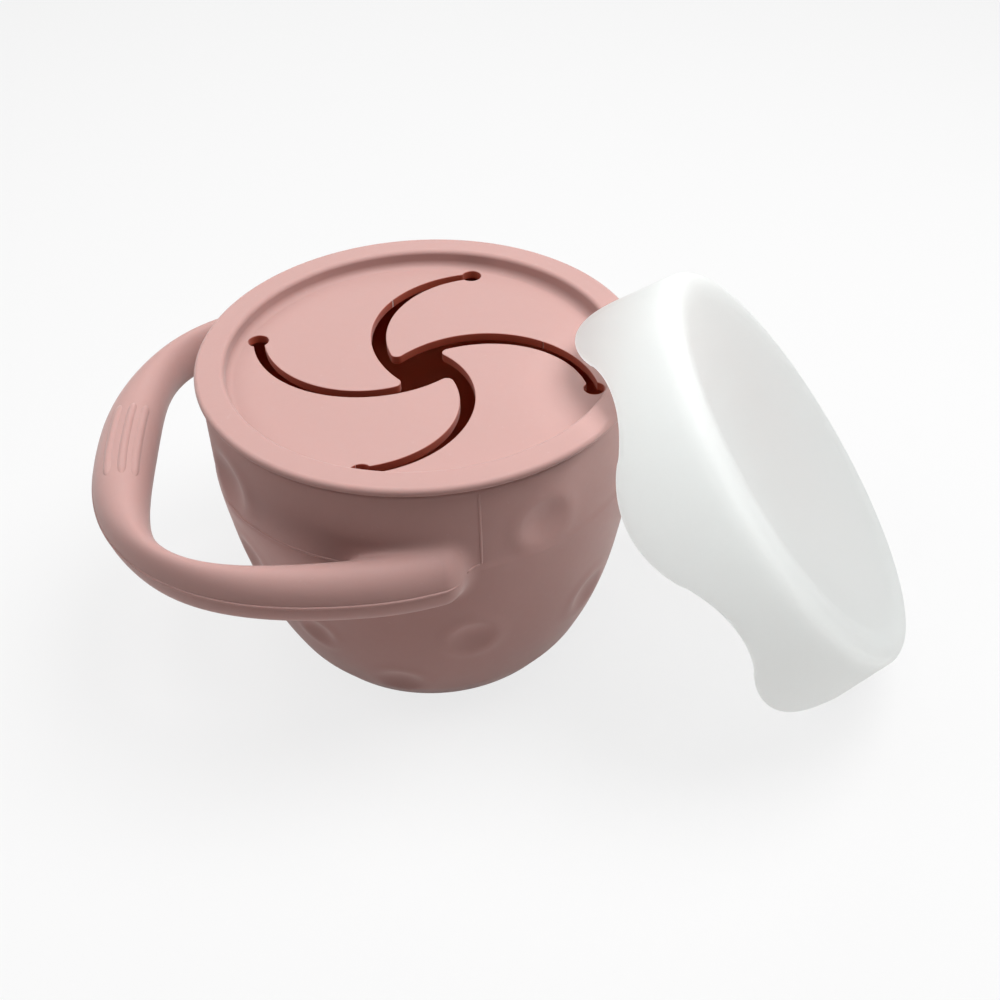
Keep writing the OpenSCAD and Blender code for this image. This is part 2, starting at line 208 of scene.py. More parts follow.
def latheMesh(profile, steps):
    verts, faces = [], []
    for i in range(steps):
        a = 2 * math.pi * i / steps
        verts += [(r * math.cos(a), r * math.sin(a), z) for r, z in profile]
    n = len(profile)
    for i in range(steps):
        k = (i + 1) % steps
        faces += [(i * n + j, k * n + j, k * n + (j + 1) % n, i * n + (j + 1) % n) for j in range(n)]
    return verts, faces


def roughMoulding():
    # overlapping shells near the final surface, for the remesh to join
    c, h = cupForm, handleForm
    zs = np.linspace(0, c["height"], 30)
    outer = [(wallR(z, c), z) for z in zs]
    low, turn = c["floor"] + c["innerRound"], c["innerRound"]
    inner = [(wallR(z, c) - c["wall"], z) for z in np.linspace(c["height"], low, 26)]
    for a in np.radians(np.linspace(0, 90, 10))[1:]:
        inner.append((inner[25][0] - turn + turn * math.cos(a), low - turn * math.sin(a)))
    verts, faces = latheMesh([(0.01, 0)] + outer + inner + [(0.01, c["floor"])], 120)
    inY = c["radius"] - h["bite"]
    outAx = h["reach"] + h["bendX"]
    inAx = outAx - h["gripT"]
    armY = inY + h["armT"] / 2
    rings = []
    for past in np.linspace(h["armL"] + 2, 0, 8):
        rings.append((h["bendX"] + past, -armY, -90, h["armT"] / 2, h["armH"] / 2))
    for f in np.linspace(-90, 90, 60)[1:-1]:
        t = math.radians(f)
        ri = float(ovalR(inAx, inY, h["innerSquare"], t))
        ro = float(ovalR(outAx, inY + h["armT"], h["outerSquare"], t))
        m = (ri + ro) / 2
        rings.append((h["bendX"] - m * math.cos(t), m * math.sin(t), f, (ro - ri) / 2, h["armH"] / 2))
    for past in np.linspace(0, h["armL"] + 2, 8):
        rings.append((h["bendX"] + past, armY, 90, h["armT"] / 2, h["armH"] / 2))
    start, n = len(verts), 24
    for x, y, f, a, b in rings:
        t = math.radians(f)
        for i in range(n):
            s = 2 * math.pi * i / n
            verts.append((x - math.cos(t) * a * math.cos(s), y + math.sin(t) * a * math.cos(s),
                          h["z"] + b * math.sin(s)))
    for j in range(len(rings) - 1):
        for i in range(n):
            k, o = (i + 1) % n, start + j * n
            faces.append((o + i, o + n + i, o + n + k, o + k))
    last = start + (len(rings) - 1) * n
    faces.append(tuple(start + i for i in range(n)))
    faces.append(tuple(last + i for i in reversed(range(n))))
    return verts, faces


def applyModifiers(obj):
    bpy.context.view_layer.update()
    graph = bpy.context.evaluated_depsgraph_get()
    mesh = bpy.data.meshes.new_from_object(obj.evaluated_get(graph), depsgraph=graph)
    obj.modifiers.clear()
    obj.data = mesh


def meshArrays(mesh):
    p = np.empty(len(mesh.vertices) * 3)
    mesh.vertices.foreach_get("co", p)
    e = np.empty(len(mesh.edges) * 2, int)
    mesh.edges.foreach_get("vertices", e)
    return p.reshape(-1, 3) / mm, e.reshape(-1, 2)


def relax(p, edges):
    # half way to the middle of each vertex's neighbours
    count = np.bincount(edges.ravel(), minlength=len(p))[:, None]
    total = np.zeros_like(p)
    np.add.at(total, edges[:, 0], p[edges[:, 1]])
    np.add.at(total, edges[:, 1], p[edges[:, 0]])
    return p + 0.5 * (total / np.maximum(count, 1) - p)


def makeMoulding():
    c = cupForm
    obj = makeObject("cupMoulding", *roughMoulding())
    remesh = obj.modifiers.new("remesh", "REMESH")
    remesh.mode = "VOXEL"
    remesh.voxel_size = c["voxel"] * mm
    applyModifiers(obj)
    p, edges = meshArrays(obj.data)
    p = settle(mouldingField, p, 6)
    for _ in range(3):
        p = settle(mouldingField, relax(p, edges), 2)
    p = settle(mouldingField, p, 2)
    obj.data.vertices.foreach_set("co", (p * mm).ravel())
    slope = fieldSlope(mouldingField, p)
    slope /= np.linalg.norm(slope, axis=1)[:, None]
    # painted shade: the wall's inner side and the floor are marked for an orange-red colour standing in
    # for the dim, red-lit hollow under the lid
    outerR = np.array([wallR(z, c) for z in p[:, 2]])
    within = np.hypot(p[:, 0], p[:, 1]) < outerR - 0.7 * c["wall"]
    above = smoothStep(p[:, 2], 1, 2)
    below = 1 - smoothStep(p[:, 2], *c["paintedShadeFade"])
    # share of painted shade at each vertex, kept in the inside attribute
    depth = c["paintedShadeShare"] * within * above * below
    obj.data.attributes.new("inside", "FLOAT", "POINT").data.foreach_set("value", depth)
    obj.data.shade_smooth()
    obj.data.normals_split_custom_set_from_vertices([tuple(n) for n in slope])
    obj.data.update()
    return obj


moulding = makeMoulding()
print("moulding", len(moulding.data.polygons))


# The lid: flange, plug and plate in one, and four petals in its opening

lidForm = {
    "flangeR": 48, "topZ": 75.3, "rimZ": 73.3, "discZ": 71.2, "discT": 2, "recessR": 41.7,
    "footRound": 1.7, "lipRound": 1.0, "edgeRound": 0.2, "plugR": 44.5, "plugT": 1.8,
    "plugLowZ": 66.3, "holeRing": 38.1, "holeR": 2.25, "holeAngle": -21, "petalR": 22.3,
    "petalD": 19.2, "slitR": 25, "slitD": 18.5, "lag": 30, "tipR": 1.5,
    "sag": 0.7, "sagReach": 27, "bend": 4.0, "rootSteps": 26, "turns": 240,
}


def lidFrame(k):
    out = polar(1, lidForm["holeAngle"] - 45 + 90 * k)
    along = polar(1, lidForm["holeAngle"] + 45 + 90 * k)
    return out, along


def chordD():
    return lidForm["holeRing"] * math.cos(math.radians(45))


def petalCentre(k):
    return polar(lidForm["petalD"], lidForm["holeAngle"] - lidForm["lag"] + 90 * k)


def slitCentre(k):
    return polar(lidForm["slitD"], lidForm["holeAngle"] - lidForm["lag"] + 90 * (k - 1))


def holeCentre(k):
    return polar(lidForm["holeRing"], lidForm["holeAngle"] + 90 * k)


def rootEnds(k, e):
    out, along = lidFrame(k)
    centre, d = slitCentre(k), chordD()
    low = centre @ along + math.sqrt((lidForm["slitR"] + e) ** 2 - (d - centre @ out) ** 2)
    high = d - lidForm["holeR"] - e
    return d * out + low * along, d * out + high * along


def circlesMeet(p, rp, q, rq, side):
    d = np.linalg.norm(q - p)
    u = (q - p) / d
    a = (rp ** 2 - rq ** 2 + d ** 2) / (2 * d)
    return p + a * u + side * math.sqrt(rp ** 2 - a ** 2) * np.array([-u[1], u[0]])


def innerMeet(k, centre, radius, rh):
    hole, out = holeCentre(k), lidFrame(k)[0]
    both = [circlesMeet(hole, rh, centre, radius, side) for side in (1, -1)]
    return min(both, key=lambda m: m @ out)


def tipCentre(k):
    f = lidForm
    return circlesMeet(petalCentre(k), f["petalR"] - f["tipR"], slitCentre(k), f["slitR"] + f["tipR"], -1)


def arc(centre, start, end, turn, n):
    a0 = math.atan2(*(start - centre)[::-1])
    a1 = math.atan2(*(end - centre)[::-1])
    while turn * (a1 - a0) < 0:
        a1 += turn * 2 * math.pi
    r = np.linalg.norm(start - centre)
    return [centre + r * np.array([math.cos(a), math.sin(a)]) for a in np.linspace(a0, a1, n)]


def toward(a, b, r):
    return a + r * (b - a) / np.linalg.norm(b - a)


def rootLine(k, e):
    low, high = rootEnds(k, e)
    return [low + (high - low) * s for s in np.linspace(0, 1, lidForm["rootSteps"])]


def petalOutline(k, e):
    f = lidForm
    p, q, t, hole = petalCentre(k), slitCentre(k), tipCentre(k), holeCentre(k)
    rp, rt = f["petalR"] - e, f["tipR"] - e
    line = rootLine(k, e)
    meet = innerMeet(k, p, rp, f["holeR"] + e)
    nearQ, nearP = toward(t, q, rt), toward(t, p, -rt)
    return line[:-1] + arc(hole, line[-1], meet, -1, 12)[:-1] + arc(p, meet, nearP, 1, 76)[:-1] \
        + arc(t, nearP, nearQ, 1, 14)[:-1] + arc(q, nearQ, line[0], -1, 60)[:-1]


def openingOutline(e):
    f = lidForm
    points = []
    for k in range(4):
        j = (k + 1) % 4
        line = rootLine(k, e)
        q, rq = slitCentre(j), f["slitR"] + e
        leave = innerMeet(k, q, rq, f["holeR"] + e)
        around = arc(holeCentre(k), line[-1], leave, 1, 30)
        points += line + around[1:-1] + arc(q, leave, rootEnds(j, e)[0], 1, 40)[:-1]
    return points


def inside(points, outline):
    a = np.asarray(outline)
    b = np.roll(a, -1, 0)
    x, y = points[:, :1], points[:, 1:2]
    straddle = (a[:, 1] > y) != (b[:, 1] > y)
    with np.errstate(divide="ignore", invalid="ignore"):
        cross = (b[:, 0] - a[:, 0]) * (y - a[:, 1]) / (b[:, 1] - a[:, 1]) + a[:, 0]
    return (straddle & (x < cross)).sum(1) % 2 == 1


def flatFill(outer, hole, extra):
    # triangles between two closed outlines, counted over outer, hole and extra points in turn
    points = np.concatenate([np.asarray(p).reshape(-1, 2) for p in (outer, hole, extra)])
    edges = []
    for start, n in ((0, len(outer)), (len(outer), len(hole))):
        edges += [(start + i, start + (i + 1) % n) for i in range(n)]
    made = delaunay_2d_cdt([Vector(p) for p in points], edges, [], 0 if len(hole) else 1, 1e-6)
    source = [first[0] for first in made[3]]
    faces = np.array([[source[v] for v in face] for face in made[2]])
    if len(hole):
        middles = points[faces].mean(1)
        faces = faces[inside(middles, outer) & ~inside(middles, hole)]
    a, b, c = points[faces[:, 0]], points[faces[:, 1]], points[faces[:, 2]]
    turned = (b[:, 0] - a[:, 0]) * (c[:, 1] - a[:, 1]) - (b[:, 1] - a[:, 1]) * (c[:, 0] - a[:, 0]) < 0
    faces[turned] = faces[turned][:, ::-1]
    return faces


def outlineNormals(points, side):
    p = np.asarray(points)
    t = np.roll(p, -1, 0) - np.roll(p, 1, 0)
    t /= np.linalg.norm(t, axis=1)[:, None]
    return side * np.stack([t[:, 1], -t[:, 0]], 1)


class Build:
    # collects vertices with their normals and a mask of painted shade for the slit sides and undersides,
    # and the faces between them
    def __init__(self):
        self.verts, self.normals, self.walls, self.faces = [], [], [], []

    def add(self, verts, normals, wall):
        start = len(self.verts)
        self.verts += [tuple(v) for v in verts]
        self.normals += [tuple(n / np.linalg.norm(n)) for n in np.asarray(normals, float)]
        self.walls += [wall] * len(verts)
        return start

    def band(self, a, b, n):
        self.faces += [(a + i, b + i, b + (i + 1) % n, a + (i + 1) % n) for i in range(n)]

    def obj(self, name):
        made = makeObject(name, self.verts, self.faces, True, self.normals)
        # the wall attribute carries the painted shade of slit sides and undersides
        wall = made.data.attributes.new("wall", "FLOAT", "POINT")
        wall.data.foreach_set("value", np.array(self.walls, np.float32))
        return made


# turn down the edge in degrees, whether it belongs to the upper rounding, and the painted-shade mask
# there, growing darker down the slit's side
edgeTurns = (
    (90, True, 0.0), (60, True, 0.15), (30, True, 0.55), (0, True, 0.9),
    (0, False, 1.0), (-30, False, 1.0), (-60, False, 1.0), (-90, False, 1.0),
)


def edgeRings(build, outline, side, top, bottom, lift):
    # one ring per step round the edge, from the top face to the bottom face
    r = lidForm["edgeRound"]
    starts = []
    for turn, upper, wall in edgeTurns:
        s, c = math.sin(math.radians(turn)), math.cos(math.radians(turn))
        points = np.array(outline(r * (1 - c)))
        z = top - r * (1 - s) if upper else bottom + r * (1 + s)
        plan = outlineNormals(points, side)
        height, tilt = lift(points)
        verts = np.column_stack([points, z + height])
        normals = np.column_stack([plan * c + tilt * s, np.full(len(points), s)])
        starts.append(build.add(verts, normals, wall))
    n = len(points)
    for a, b in zip(starts, starts[1:]):
        if side > 0:
            build.band(a, b, n)
        else:
            build.band(b, a, n)
    return starts, n


def footLift(points):
    # the plate's top climbs into the foot of the recess wall
    f = lidForm["footRound"]
    r = np.linalg.norm(points, axis=1)
    over = np.clip(r - (lidForm["recessR"] - f), 0, f * 0.999)
    rise = f - np.sqrt(f ** 2 - over ** 2)
    slope = over / np.sqrt(f ** 2 - over ** 2)
    return rise, -points / np.maximum(r, 1e-9)[:, None] * slope[:, None]


def lidProfile():
    f = lidForm
    foot, lip = f["footRound"], f["lipRound"]
    rows = []

    def bend(cx, cz, r, start, end, n, hollow=False):
        for a in np.radians(np.linspace(start, end, n)):
            way = -1 if hollow else 1
            rows.append((cx + r * math.cos(a), cz + r * math.sin(a), way * math.cos(a), way * math.sin(a)))

    recess, edge = f["recessR"], f["flangeR"] - 1
    plugMid, plugEnd = f["plugR"] - f["plugT"] / 2, f["plugLowZ"] + f["plugT"] / 2
    plugIn, under = f["plugR"] - f["plugT"], f["discZ"] - f["discT"]
    bend(recess - foot, f["discZ"] + foot, foot, -25, 0, 6, True)
    bend(recess + lip, f["topZ"] - lip, lip, 180, 90, 9)
    for r in np.linspace(recess + lip, edge, 5)[1:-1]:
        rows.append((r, f["topZ"], 0, 1))
    bend(edge, f["topZ"] - 1, 1, 90, -90, 13)
    bend(f["plugR"] + 0.3, f["rimZ"] - 0.3, 0.3, 90, 180, 4, True)
    bend(plugMid, plugEnd, f["plugT"] / 2, 0, -180, 11)
    bend(plugIn - 0.5, under - 0.5, 0.5, 0, 90, 4, True)
    return rows


def makeLidPlate():
    f = lidForm
    build = Build()
    n = f["turns"]
    around = np.array([polar(1, 360 * i / n) for i in range(n)])
    rows = lidProfile()
    startR = rows[0][0]
    bottom = f["discZ"] - f["discT"]
    rows.append((startR, bottom, 0, -1))
    starts = []
    for r, z, nr, nz in rows:
        verts = np.column_stack([around * r, np.full(n, z)])
        normals = np.column_stack([around * nr, np.full(n, nz)])
        # the underside and the plug's inner side carry the painted shade; the top and the flange don't
        outer = z > f["discZ"] - 0.01 or r > f["plugR"] - f["plugT"] / 2
        starts.append(build.add(verts, normals, 0.0 if outer else 1.0))
    for a, b in zip(starts, starts[1:]):
        build.band(a, b, n)
    rings, m = edgeRings(build, openingOutline, -1, f["discZ"], bottom, footLift)
    outline = np.array(openingOutline(f["edgeRound"]))
    clear = np.array(openingOutline(f["edgeRound"] + 0.35))
    foot = f["recessR"] - f["footRound"]
    extra = np.concatenate([around * r for r in np.linspace(foot, startR, 6)[:-1]] + [around[::3] * 38.5])
    extra = extra[~inside(extra, clear)]
    outer = around * startR
    for level, ringStart, outerStart in ((1, rings[0], starts[0]), (-1, rings[-1], starts[-1])):
        rise, tilt = footLift(extra)
        z = f["discZ"] + rise if level > 0 else np.full(len(extra), bottom)
        up = np.column_stack([tilt if level > 0 else tilt * 0, np.full(len(extra), level)])
        # the plate's underside carries the painted shade, its top none
        extraStart = build.add(np.column_stack([extra, z]), up, 0.0 if level > 0 else 1.0)
        places = np.concatenate([outerStart + np.arange(n), ringStart + np.arange(m),
                                 extraStart + np.arange(len(extra))])
        faces = places[flatFill(outer, outline, extra)]
        build.faces += [tuple(t if level > 0 else t[::-1]) for t in faces]
    return build.obj("lidPlate")


def petalSag(k):
    out = lidFrame(k)[0]
    sag, reach = lidForm["sag"], lidForm["sagReach"]

    def lift(points):
        inward = np.clip(chordD() - points @ out, 0, None)
        drop = -sag * (inward / reach) ** 2
        slope = 2 * sag * inward / reach ** 2
        return drop, -out * slope[:, None]
    return lift


def makePetal(k):
    f = lidForm
    build = Build()
    lift = petalSag(k)
    bottom = f["discZ"] - f["discT"]
    rings, m = edgeRings(build, lambda e: petalOutline(k, e), 1, f["discZ"], bottom, lift)
    outline = np.array(petalOutline(k, f["edgeRound"]))
    clear = petalOutline(k, f["edgeRound"] + 0.4)
    out, along = lidFrame(k)
    rows = np.concatenate([np.arange(0.6, 4.9, 0.6), np.arange(6, 36, 1.8)])
    grid = np.array([(chordD() - d) * out + a * along for d in rows
                     for a in np.arange(-32, 32, 1.2 if d < 5 else 1.8)])
    grid = grid[inside(grid, clear)]
    for level, ringStart in ((1, rings[0]), (-1, rings[-1])):
        drop, tilt = lift(grid)
        z = (f["discZ"] if level > 0 else bottom) + drop
        normals = level * np.column_stack([tilt, np.ones(len(grid))])
        # the petal's underside carries the painted shade, its top none
        start = build.add(np.column_stack([grid, z]), normals, 0.0 if level > 0 else 1.0)
        places = np.concatenate([ringStart + np.arange(m), start + np.arange(len(grid))])
        faces = places[flatFill(outline, [], grid)]
        build.faces += [tuple(t if level > 0 else t[::-1]) for t in faces]
    return build.obj(f"petal{k + 1}")


lidPlate = makeLidPlate()
petals = [makePetal(k) for k in range(4)]
print("lid", len(lidPlate.data.polygons), len(petals[0].data.polygons))


# The dust cover, turned on its own axis and then leaned against the rim

coverForm = {
    "wall": 1.4, "taper": 8.2, "lobeDepth": 22.8, "scallopH": 7.1, "topRound": 3.3,
    "recessR": 43.4, "recess": 0.6, "recessSoft": 4.2, "lean": 38.1, "yaw": -9, "spin": -8.9,
    "waves": 6, "fit": 0.1, "turns": 288, "middle": (79.285, -20.357, 53.770),
}


def coverSizes():
    c = coverForm
    t = math.radians(c["taper"])
    notch = c["lobeDepth"] - c["scallopH"]
    top = lidForm["flangeR"] + c["fit"] + c["wall"] / math.cos(t) - notch * math.tan(t)
    return t, notch, top, top + c["lobeDepth"] * math.tan(t)


def edgeHeight(angles, r):
    c = coverForm
    _, notch, _, mouth = coverSizes()
    half = c["scallopH"] / 2
    step = mouth * math.sin(math.radians(90 / c["waves"]))
    waveR = (step ** 2 + half ** 2) / c["scallopH"]
    lobe = 2 * math.pi / c["waves"]
    b = angles - lobe * np.round(angles / lobe)
    y, n = r * np.sin(b), r * np.sin(lobe / 2 - np.abs(b))
    low = waveR - c["lobeDepth"] - np.sqrt(np.maximum(waveR ** 2 - y ** 2, 0))
    high = np.sqrt(np.maximum(waveR ** 2 - n ** 2, 0)) - notch - waveR
    return np.where(np.abs(y) < step, low, high)


def makeDustCover():
    c = coverForm
    t, _, top, mouth = coverSizes()
    n, f, wall = c["turns"], c["topRound"], c["wall"]
    a = np.linspace(0, 2 * math.pi, n, endpoint=False)
    one = np.ones(n)
    centre = top + f * math.tan(t) - f / math.cos(t)
    rows = [(one * r, -c["recess"] * one) for r in (5, 12, 20, 28, 34, 38)]
    for s in np.linspace(0, 1, 9):
        r = c["recessR"] + (s - 0.85) * c["recessSoft"]
        rows.append((one * r, -c["recess"] * (1 - smoothStep(s, 0, 1)) * one))
    for turn in np.linspace(math.pi / 2, t, 11):
        rows.append((one * (centre + f * math.cos(turn)), one * (-f + f * math.sin(turn))))
    lipR = wall / 2 / math.cos(t)
    middleR = top - lipR
    edge = edgeHeight(a, mouth - lipR) + lipR
    start = -f + f * math.sin(t)
    for s in np.linspace(0, 1, 15)[1:]:
        z = start + (edge - start) * s
        rows.append((middleR + lipR - z * math.tan(t), z))
    for turn in np.radians(np.linspace(0, -180, 11))[1:-1]:
        rows.append((middleR - edge * math.tan(t) + lipR * math.cos(turn), edge + lipR * math.sin(turn)))
    for s in np.linspace(1, 0, 13):
        z = start + (edge - start) * s
        rows.append((middleR - lipR - z * math.tan(t), z))
    for turn in np.linspace(t, math.pi / 2, 7)[1:]:
        inR = f - wall
        rows.append((one * (centre + inR * math.cos(turn)), one * (-f + inR * math.sin(turn))))
    rows += [(one * r, -wall * one) for r in (40, 32, 22, 12, 5)]
    verts = [(0, 0, -c["recess"])]
    for r, z in rows:
        verts += list(zip(r * np.cos(a), r * np.sin(a), z))
    verts.append((0, 0, -wall))
    last = len(verts) - 1
    faces = [(0, 1 + i, 1 + (i + 1) % n) for i in range(n)]
    for j in range(len(rows) - 1):
        for i in range(n):
            k, o = (i + 1) % n, 1 + j * n
            faces.append((o + i, o + n + i, o + n + k, o + k))
    o = last - n
    faces += [(o + i, last, o + (i + 1) % n) for i in range(n)]
    turn = Matrix.Rotation(math.radians(c["yaw"]), 3, "Z") \
        @ Matrix.Rotation(math.radians(90 - c["lean"]), 3, "Y") \
        @ Matrix.Rotation(math.radians(c["spin"]), 3, "Z")
    placed = np.array(verts) @ np.array(turn).T + np.array(c["middle"])
    return makeObject("dustCover", placed, faces)


dustCover = makeDustCover()
print("cover", len(dustCover.data.polygons))


# Raised ribs and mould lines, swept along paths that lie on the moulding

ribForm = {
    "across": (2.4, -0.9, -4.2), "spread": 24, "startZ": 58.6, "length": 27, "middleY": -1.5,
    "radius": 1.15, "sink": 0.72, "taper": 0.12, "step": 0.35, "sides": 18,
}

# paths on the moulding's outside: pairs of angle round the axis and height
lineForm = {
    "paths": [
        [(-79.5, 72.6), (-79.5, 65), (-79.5, 58), (-79.5, 53.5)],
        [(-87, 53.2), (-83, 53.5), (-79.5, 53.9)],
        [(-112, 54.6), (-125, 54.2), (-140, 53.6), (-158, 53.2)],
    ],
    "radius": 0.36, "sink": 0.17, "taper": 0.1, "step": 0.6, "sides": 10,
}

seamForm = {
    "wrap": 60, "across": 5.2, "radius": 0.42, "sink": 0.16, "taper": 0.04, "step": 0.7, "sides": 12,
}


def connect(tree, source, output, target, place):
    tree.links.new(source.outputs[output], target.inputs[place])


def mathNode(tree, operation, a, b=None, clamp=False):
    node = tree.nodes.new("ShaderNodeMath")
    node.operation = operation
    node.use_clamp = clamp
    for place, value in enumerate((a, b)):
        if value is None:
            continue
        if isinstance(value, (int, float)):
            node.inputs[place].default_value = value
        else:
            tree.links.new(value, node.inputs[place])
    return node.outputs[0]


def sweepTree():
    # a tube along a path, rounded off over a share of the path at each end
    tree = bpy.data.node_groups.new("sweepAlongPath", "GeometryNodeTree")
    tree.interface.new_socket("Geometry", in_out="OUTPUT", socket_type="NodeSocketGeometry")
    kinds = (("Path", "Geometry"), ("Radius", "Float"), ("Taper", "Float"), ("Step", "Float"),
             ("Sides", "Int"), ("Material", "Material"))
    for name, kind in kinds:
        tree.interface.new_socket(name, in_out="INPUT", socket_type="NodeSocket" + kind)
    add = tree.nodes.new
    given, result = add("NodeGroupInput"), add("NodeGroupOutput")
    curve, resample = add("GeometryNodeMeshToCurve"), add("GeometryNodeResampleCurve")
    resample.mode = "LENGTH"
    circle, sweep = add("GeometryNodeCurvePrimitiveCircle"), add("GeometryNodeCurveToMesh")
    circle.inputs["Radius"].default_value = 1
    sweep.inputs["Fill Caps"].default_value = True
    shade, realize = add("GeometryNodeSetShadeSmooth"), add("GeometryNodeRealizeInstances")
    paint = add("GeometryNodeSetMaterial")
    factor = add("GeometryNodeSplineParameter").outputs["Factor"]
    nearer = mathNode(tree, "MINIMUM", factor, mathNode(tree, "SUBTRACT", 1, factor))
    share = mathNode(tree, "DIVIDE", nearer, given.outputs["Taper"], True)
    rest = mathNode(tree, "SUBTRACT", 1, share)
    fall = mathNode(tree, "SUBTRACT", 1.0004, mathNode(tree, "MULTIPLY", rest, rest))
    rounded = mathNode(tree, "SQRT", fall)
    size = mathNode(tree, "MULTIPLY", rounded, given.outputs["Radius"])
    connect(tree, given, "Path", curve, "Mesh")
    connect(tree, curve, "Curve", resample, "Curve")
    connect(tree, given, "Step", resample, "Length")
    connect(tree, given, "Sides", circle, "Resolution")
    connect(tree, resample, "Curve", sweep, "Curve")
    connect(tree, circle, "Curve", sweep, "Profile Curve")
    tree.links.new(size, sweep.inputs["Scale"])
    connect(tree, sweep, "Mesh", shade, "Geometry")
    connect(tree, shade, "Geometry", realize, "Geometry")
    connect(tree, realize, "Geometry", paint, "Geometry")
    connect(tree, given, "Material", paint, "Material")
    connect(tree, paint, "Geometry", result, "Geometry")
    return tree


def socketKey(tree, name):
    return next(i.identifier for i in tree.interface.items_tree
                if i.item_type == "SOCKET" and i.in_out == "INPUT" and i.name == name)


def sweptPiece(name, paths, form, tree, material):
    verts, edges = [], []
    for path in paths:
        start = len(verts)
        verts += [tuple(p * mm) for p in path]
        edges += [(start + i, start + i + 1) for i in range(len(path) - 1)]
    mesh = bpy.data.meshes.new(name)
    mesh.from_pydata(verts, edges, [])
    obj = bpy.data.objects.new(name, mesh)
    scene.collection.objects.link(obj)
    sweep = obj.modifiers.new("sweep", "NODES")
    sweep.node_group = tree
    settings = (("Radius", form["radius"] * mm), ("Taper", form["taper"]), ("Step", form["step"] * mm),
                ("Sides", form["sides"]), ("Material", material))
    for key, value in settings:
        sweep[socketKey(tree, key)] = value
    applyModifiers(obj)
    return obj


def onSurface(points, sink):
    p = settle(mouldingField, np.array(points, float), 8)
    slope = fieldSlope(mouldingField, p)
    return p - sink * slope / np.linalg.norm(slope, axis=1)[:, None]


def midGrip(f, across):
    h, c = handleForm, cupForm
    inY, outAx = c["radius"] - h["bite"], h["reach"] + h["bendX"]
    t = np.radians(f)
    ri = ovalR(outAx - h["gripT"], inY, h["innerSquare"], t)
    ro = ovalR(outAx, inY + h["armT"], h["outerSquare"], t)
    m = (ri + ro) / 2 + across
    return np.column_stack([h["bendX"] - m * np.cos(t), m * np.sin(t)])


def ribPaths():
    r = ribForm
    paths = []
    for across in r["across"]:
        plan = midGrip(np.linspace(-r["spread"], r["spread"], 400), across)
        near = np.abs(plan[:, 1] - r["middleY"]) <= r["length"] / 2
        plan = plan[near][::3]
        paths.append(onSurface(np.column_stack([plan, np.full(len(plan), r["startZ"])]), r["sink"]))
    return paths


def linePaths():
    paths = []
    for path in lineForm["paths"]:
        corners = np.array(path, float)
        s = np.linspace(0, len(corners) - 1, 40)
        angle = np.interp(s, range(len(corners)), corners[:, 0])
        z = np.interp(s, range(len(corners)), corners[:, 1])
        plan = np.array([polar(wallR(h, cupForm) + 0.2, a) for a, h in zip(angle, z)])
        paths.append(onSurface(np.column_stack([plan, z]), lineForm["sink"]))
    return paths


def seamPaths():
    s, h = seamForm, handleForm
    bend = midGrip(np.linspace(-89, 89, 180), s["across"])
    past = np.linspace(h["armL"], 1, 24)
    middle = cupForm["radius"] - h["bite"] + h["armT"] / 2
    arm = np.column_stack([h["bendX"] + past, middle + h["armT"] / 2 - h["bow"] * (past / h["armL"]) ** 2])
    turn = np.radians(np.linspace(s["wrap"], 4, 14))
    cap = np.column_stack([h["bendX"] + h["armL"] + h["endL"] * np.sin(turn),
                           middle - h["bow"] + h["armT"] / 2 * np.cos(turn)])
    side = np.vstack([cap, arm])
    plan = np.vstack([side * (1, -1), bend, side[::-1]])
    return [onSurface(np.column_stack([plan, np.full(len(plan), float(h["z"]))]), s["sink"])]


# Materials

skinLook = {
    "tint": (0.432, 0.262, 0.242, 1), "mottled": (0.36, 0.20, 0.18, 1), "mottle": 0.05,
    # the next two colours are painted shade: dark red for the lid's slit sides and undersides, orange-red
    # for the cup's inner side
    "paintedWallShade": (0.38, 0.06, 0.025, 1), "inside": (0.66, 0.16, 0.07, 1),
    "dust": (0.7, 0.62, 0.6, 1), "dustShare": 0.04, "roughness": 0.5, "specular": 0.18,
    "subsurface": 0.12, "spread": 0.0016, "bleed": (1, 0.35, 0.25), "sheen": 0.25, "sheenRough": 0.4,
    "grainDepth": 0.00006, "grain": 0.35,
}

coverLook = {
    "tint": (0.8, 0.813, 0.809, 1), "cloudy": (0.8, 0.82, 0.8, 1), "cloud": 0.06, "roughness": 0.42,
    "subsurface": 0.3, "spread": 0.004, "bleed": (1, 0.95, 0.9), "through": 0.83,
    # the glow and its tint are a painted glow of the cover, seen only directly
    "glow": 0.15, "paintedGlowTint": (0.97, 1, 0.985, 1), "grainDepth": 0.0001, "grain": 0.3,
}

floorLook = {
    "tint": (0.12, 0.12, 0.12, 1), "specks": (0.1, 0.1, 0.1, 1), "speck": 0.02, "roughness": 0.8,
    "specular": 0.1, "glow": 0.79, "bounce": (0.68, 0.59, 0.57, 1), "half": 9000,
}


def shaderGroup(name, inputs, outputs):
    tree = bpy.data.node_groups.new(name, "ShaderNodeTree")
    for key, kind, value in inputs:
        made = tree.interface.new_socket(key, in_out="INPUT", socket_type="NodeSocket" + kind)
        if value is not None:
            made.default_value = value
    for key, kind in outputs:
        tree.interface.new_socket(key, in_out="OUTPUT", socket_type="NodeSocket" + kind)
    return tree, tree.nodes.new("NodeGroupInput"), tree.nodes.new("NodeGroupOutput")


def noiseNode(tree, vector, scale, detail, rough=0.5):
    node = tree.nodes.new("ShaderNodeTexNoise")
    node.inputs["Scale"].default_value = scale
    node.inputs["Detail"].default_value = detail
    node.inputs["Roughness"].default_value = rough
    tree.links.new(vector, node.inputs["Vector"])
    return node.outputs["Fac"]


